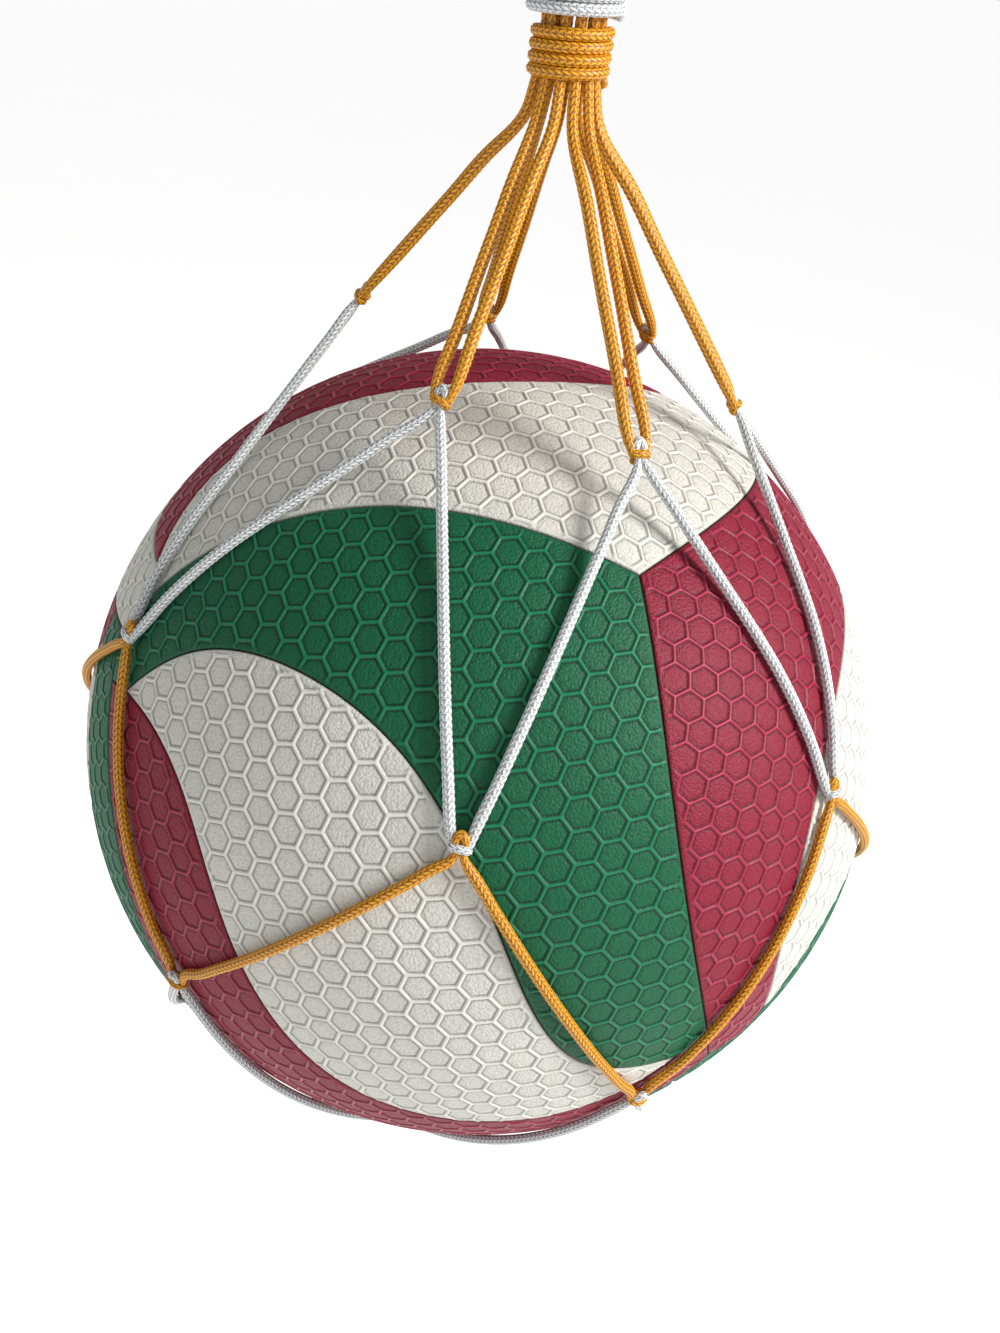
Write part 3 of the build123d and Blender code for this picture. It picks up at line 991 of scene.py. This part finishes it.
cord("mouth_knots", [wrap(k) for k in mouth_row], amber)
cord("upper_knots", [wrap(k) for k in upper_row], white)
cord("lower_knots", [wrap(k) for k in lower_row], amber)
cord("base_knots", [wrap(k) for k in base_row], white)

# ---- Base cords and base ring --------------------------------------------------------
# Six pairs of cords run in to a small ring of cord at the bottom. Each one hooks over the
# ring from outside and is tucked in behind it.
BASE_RING_R = 8.5
BASE_RING_STEPS = 120
PAIR_ANGLE_DEG = 15.0
# Hook over the ring, as (distance from the axis, depth below the ball, radius)
HOOK_ROUTE = ((15.0, -1.0, CORD_R), (11.6, 0.7, CORD_R), (BASE_RING_R, 2.35, 1.15),
              (6.1, 0.9, 1.1), (6.5, -0.3, 0.95))


def base_point(angle, reach, away, radius):
    """Point by the ball's lowest point: reach from the axis, away below the ball."""
    return np.array([reach * math.cos(angle), reach * math.sin(angle),
                     -(RIDE_R + away), radius])


for number, knot in enumerate(base_row):
    heading = math.atan2(knot.middle[1], knot.middle[0])
    halves = []
    for side in (-1, 1):
        angle = heading + side * math.radians(PAIR_ANGLE_DEG)
        hook = [base_point(angle, *place) for place in HOOK_ROUTE]
        top_end = below(knot, side)
        halves.append(hook[::-1] + taut(top_end, hook[0])[::-1] + [top_end])
    points = halves[0] + bight(knot) + halves[1][::-1]
    base_route = curve_through(points, STITCH / STITCH_STEPS)
    cord("base_cord_" + str(number + 1), [base_route], amber,
         nodes=["base_cords"])

circle = np.radians(np.linspace(0, 360, BASE_RING_STEPS + 1))
base_ring = np.stack([BASE_RING_R * np.cos(circle), BASE_RING_R * np.sin(circle),
                      np.full_like(circle, -RIDE_R), np.full_like(circle, CORD_R)], 1)
cord("base_ring", [base_ring], white, closed=True)

# ---- Mouth cords ---------------------------------------------------------------------
# Six pairs of amber cords come together from the mouth knots to the gather. They are baked
# in place and ride on no body.
NECK_R = 5.5
SLACK_R = 1.38
SLACK_SHARES = (0.15, 0.4, 0.6, 0.8)
MOUTH_BESIDE = (2.1, 2.8)
# Way into the gather, as (distance from the axis, height from its middle)
NECK_ROUTE = ((7.6, -13.0), (6.4, -8.0), (NECK_R, -2.5), (NECK_R - 0.3, 2.5))
for number, knot in enumerate(mouth_row):
    heading = math.atan2(knot.middle[1], knot.middle[0])
    strands = []
    for side in (-1, 1):
        angle = heading + side * math.radians(PAIR_ANGLE_DEG)
        reach = np.array([math.cos(angle), math.sin(angle), 0])
        neck = [np.append(gather + reach * r + np.array([0, 0, z]), CORD_R)
                for r, z in NECK_ROUTE]
        start = [knot.at(side * LEG_IN_WRAP[0], LEG_IN_WRAP[1], 0, TIGHT_R),
                 knot.at(side * MOUTH_BESIDE[0], MOUTH_BESIDE[1], 0, BESIDE_R)]
        run = [start[-1] + (neck[0] - start[-1]) * share for share in SLACK_SHARES]
        run = [np.append(point[:3], SLACK_R) for point in run]
        strands.append(curve_through(start + run + neck, STITCH / STITCH_STEPS))
    name = "mouth_cord_" + str(number + 1)
    mouth_cord = cord(name, strands, amber, body=None)
    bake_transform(mouth_cord)

# ---- Gather knot ---------------------------------------------------------------------
# The twelve mouth strands are bound together with four tight turns of the same cord.
WRAP_R = 7.3
WRAP_TURNS = 4
WRAP_BOTTOM = -6.0
WRAP_HEIGHT = 9.0
POINTS_PER_TURN = 24
binding = []
for i in range(POINTS_PER_TURN * WRAP_TURNS + 1):
    share = i / (POINTS_PER_TURN * WRAP_TURNS)
    angle = 2 * math.pi * WRAP_TURNS * share
    lift = WRAP_BOTTOM + WRAP_HEIGHT * share
    binding.append([WRAP_R * math.cos(angle), WRAP_R * math.sin(angle),
                    gather[2] + lift, CORD_R])
cord("gather_knot", [curve_through(binding, STITCH / STITCH_STEPS)], amber,
     body="carry_loop")

# ---- Carry loop ----------------------------------------------------------------------
# Above the gather the strands go up through the neck and over as six bights side by side,
# wide enough for a hand or a hook.
EYE_HALF_WIDTH = 17.5
EYE_SHOULDER_DROP = 26.0
NECK_LENGTH = 38.0
STRAND_ANGLES_DEG = (PAIR_ANGLE_DEG, 45.0, 75.0)
EYE_STRAND_Y = (1.45, 4.6, 8.0)
STRAND_FOOT = 1.0
NECK_BEND_DROPS = (14.0, 2.0)
GUIDE_STEPS = 32
eye_top = -ball_centre.z / MM + CORD_R
shoulder_z = eye_top - EYE_HALF_WIDTH - EYE_SHOULDER_DROP
neck_top = gather[2] + NECK_LENGTH
number = 0
for half in (-1, 1):
    for neck_angle, eye_y in zip(STRAND_ANGLES_DEG, EYE_STRAND_Y):
        angle = math.radians(neck_angle)
        neck_x, neck_y = NECK_R * math.cos(angle), NECK_R * math.sin(angle) * half
        y = eye_y * half
        rise = [(neck_x, neck_y, gather[2] + STRAND_FOOT)]
        rise += [(neck_x, neck_y, neck_top - drop) for drop in NECK_BEND_DROPS]
        rise += [(EYE_HALF_WIDTH, y, shoulder_z),
                 (EYE_HALF_WIDTH, y, eye_top - 2 * EYE_HALF_WIDTH)]
        points = rise + [(EYE_HALF_WIDTH, y, eye_top), (-EYE_HALF_WIDTH, y, eye_top)]
        points += [(-px, py, pz) for px, py, pz in rise[::-1]]
        number += 1
        guide = bpy.data.curves.new("strand_route", "CURVE")
        guide.dimensions = "3D"
        guide.resolution_u = GUIDE_STEPS
        spline = guide.splines.new("NURBS")
        spline.points.add(len(points) - 1)
        for control, place in zip(spline.points, points):
            control.co = (*place, 1.0)
        spline.order_u = 3
        spline.use_endpoint_u = True
        guide_object = bpy.data.objects.new("strand_route", guide)
        line = bpy.data.meshes.new_from_object(guide_object)
        strand = np.array([tuple(v.co) + (CORD_R,) for v in line.vertices])
        bpy.data.objects.remove(guide_object)
        bpy.data.curves.remove(guide)
        bpy.data.meshes.remove(line)
        cord("carry_loop_strand_" + str(number), [strand], amber,
             body="carry_loop")

# ---- Gather ring ---------------------------------------------------------------------
# A ring wound from white cord slides on the neck and holds the mouth shut. Its two ends
# are tucked under the first and the last turn.
ring_low, ring_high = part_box("gather_ring")
ring_r = (ring_high.x - ring_low.x) / 2 / MM - CORD_R
RING_TURNS = 5
winding = []
for i in range(POINTS_PER_TURN * RING_TURNS + 1):
    turned = i / POINTS_PER_TURN
    angle = 2 * math.pi * turned
    lift = CORD_R + 2 * CORD_R * min(max(turned - 0.5, 0.0), RING_TURNS - 1)
    winding.append([ring_r * math.cos(angle), ring_r * math.sin(angle),
                    (ring_low.z - ball_centre.z) / MM + lift, CORD_R])
cord("gather_ring", [curve_through(winding, STITCH / STITCH_STEPS)], white,
     body="gather_ring")
